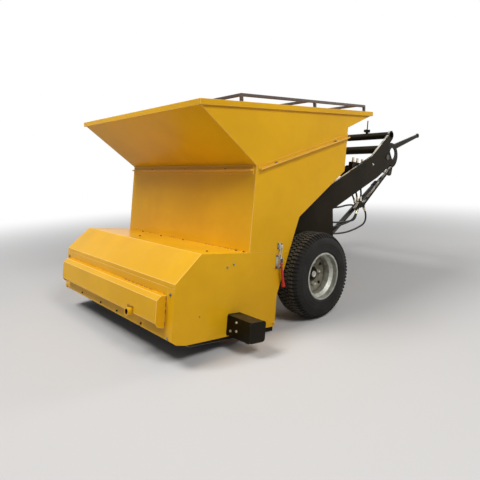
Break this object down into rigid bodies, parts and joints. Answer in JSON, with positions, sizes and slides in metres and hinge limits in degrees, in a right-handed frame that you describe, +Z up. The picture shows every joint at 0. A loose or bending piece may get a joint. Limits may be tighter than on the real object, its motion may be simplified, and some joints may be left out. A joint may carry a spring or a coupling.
{
  "type": "asphalt paver",
  "caption": "Wheeled gravity asphalt paver: a flared hopper over a covered spreader box, block-tread tyres, and plate arms up to a hitch frame tilted by cylinders.",
  "frame": {"origin": "on the floor under the middle of the machine's box", "axes": "+Z up, +Y to the hitch, +X to the machine's right side; the machine stands nose up by 8.6 degrees"},
  "size_m": [2.39, 3.844, 1.8471],
  "materials": {
    "yellow_paint": "gloss sprayed enamel",
    "black_paint": "semi-gloss",
    "zinc_plate": "galvanised",
    "chrome": "ground and polished",
    "tyre": "moulded rubber",
    "hose_rubber": "smooth rubber cover",
    "red_grip": "dipped vinyl"
  },
  "bodies": {
    "root": {"side_panel_right": "yellow_paint", "side_panel_left": "yellow_paint", "box_cover": "yellow_paint", "front_plate": "yellow_paint", "front_housing": "yellow_paint", "pipe_socket": "yellow_paint", "box_rear_wall": "yellow_paint", "screed": "black_paint", "strike_off": "yellow_paint", "skid_runners": "black_paint", "hopper_front": "yellow_paint", "hopper_side_right": "yellow_paint", "hopper_side_left": "yellow_paint", "hopper_rear": "yellow_paint", "lower_flange": "yellow_paint", "upper_flange": "yellow_paint", "funnel_front": "yellow_paint", "funnel_side_right": "yellow_paint", "funnel_side_left": "yellow_paint", "funnel_rear": "yellow_paint", "rim": "yellow_paint", "guard_frame": "black_paint", "side_brackets": "black_paint", "latches": "zinc_plate", "latch_handles": "red_grip", "chassis_plate_right": "black_paint", "chassis_plate_left": "black_paint", "cross_members": "black_paint", "levelling_screws": "black_paint", "axle": "black_paint", "valve_block": "black_paint", "hose_fittings": "zinc_plate", "hose_outer": "hose_rubber", "hose_middle": "hose_rubber", "hose_loop": "hose_rubber", "hose_rise_front": "hose_rubber", "hose_rise_middle": "hose_rubber", "hose_rise_rear": "hose_rubber"},
    "wheel_right": {"tyre_right": "tyre", "wheel_right": "zinc_plate", "hub_right": "black_paint"},
    "wheel_left": {"tyre_left": "tyre", "wheel_left": "zinc_plate", "hub_left": "black_paint"},
    "hitch": {"hitch_arm_right": "black_paint", "hitch_arm_left": "black_paint", "hitch_tube": "black_paint", "hitch_pins": "chrome"},
    "barrel_right": {"barrel_right": "black_paint"},
    "barrel_left": {"barrel_left": "black_paint"},
    "rod_right": {"rod_right": "chrome"},
    "rod_left": {"rod_left": "chrome"}
  },
  "joints": [
    {"name": "wheel_spin_right", "type": "hinge", "parent": "root", "child": "wheel_right", "pos_m": [0.936, -0.37579, 0.368], "axis": [1, 0, 0], "continuous": true},
    {"name": "wheel_spin_left", "type": "hinge", "parent": "root", "child": "wheel_left", "pos_m": [-0.936, -0.37579, 0.368], "axis": [1, 0, 0], "continuous": true},
    {"name": "hitch_tilt", "type": "hinge", "parent": "root", "child": "hitch", "pos_m": [0, 1.13104, 1.34364], "axis": [1, 0, 0], "range_deg": [-12, 12]},
    {"name": "barrel_swing_right", "type": "hinge", "parent": "root", "child": "barrel_right", "pos_m": [0.7, 0.07828, 0.53498], "axis": [1, 0, 0], "range_deg": [-1, 1]},
    {"name": "rod_slide_right", "type": "slide", "parent": "barrel_right", "child": "rod_right", "axis": [0, 0.877, 0.4805], "range_m": [-0.044, 0.044]},
    {"name": "barrel_swing_left", "type": "hinge", "parent": "root", "child": "barrel_left", "pos_m": [-0.7, 0.07828, 0.53498], "axis": [1, 0, 0], "range_deg": [-1, 1]},
    {"name": "rod_slide_left", "type": "slide", "parent": "barrel_left", "child": "rod_left", "axis": [0, 0.877, 0.4805], "range_m": [-0.044, 0.044]}
  ],
  "couplings": [
    {"joint": "barrel_swing_right", "follows": "hitch_tilt", "ratio": 0.01517},
    {"joint": "rod_slide_right", "follows": "hitch_tilt", "m_per_rad": 0.20195},
    {"joint": "barrel_swing_left", "follows": "hitch_tilt", "ratio": 0.01517},
    {"joint": "rod_slide_left", "follows": "hitch_tilt", "m_per_rad": 0.20195}
  ]
}
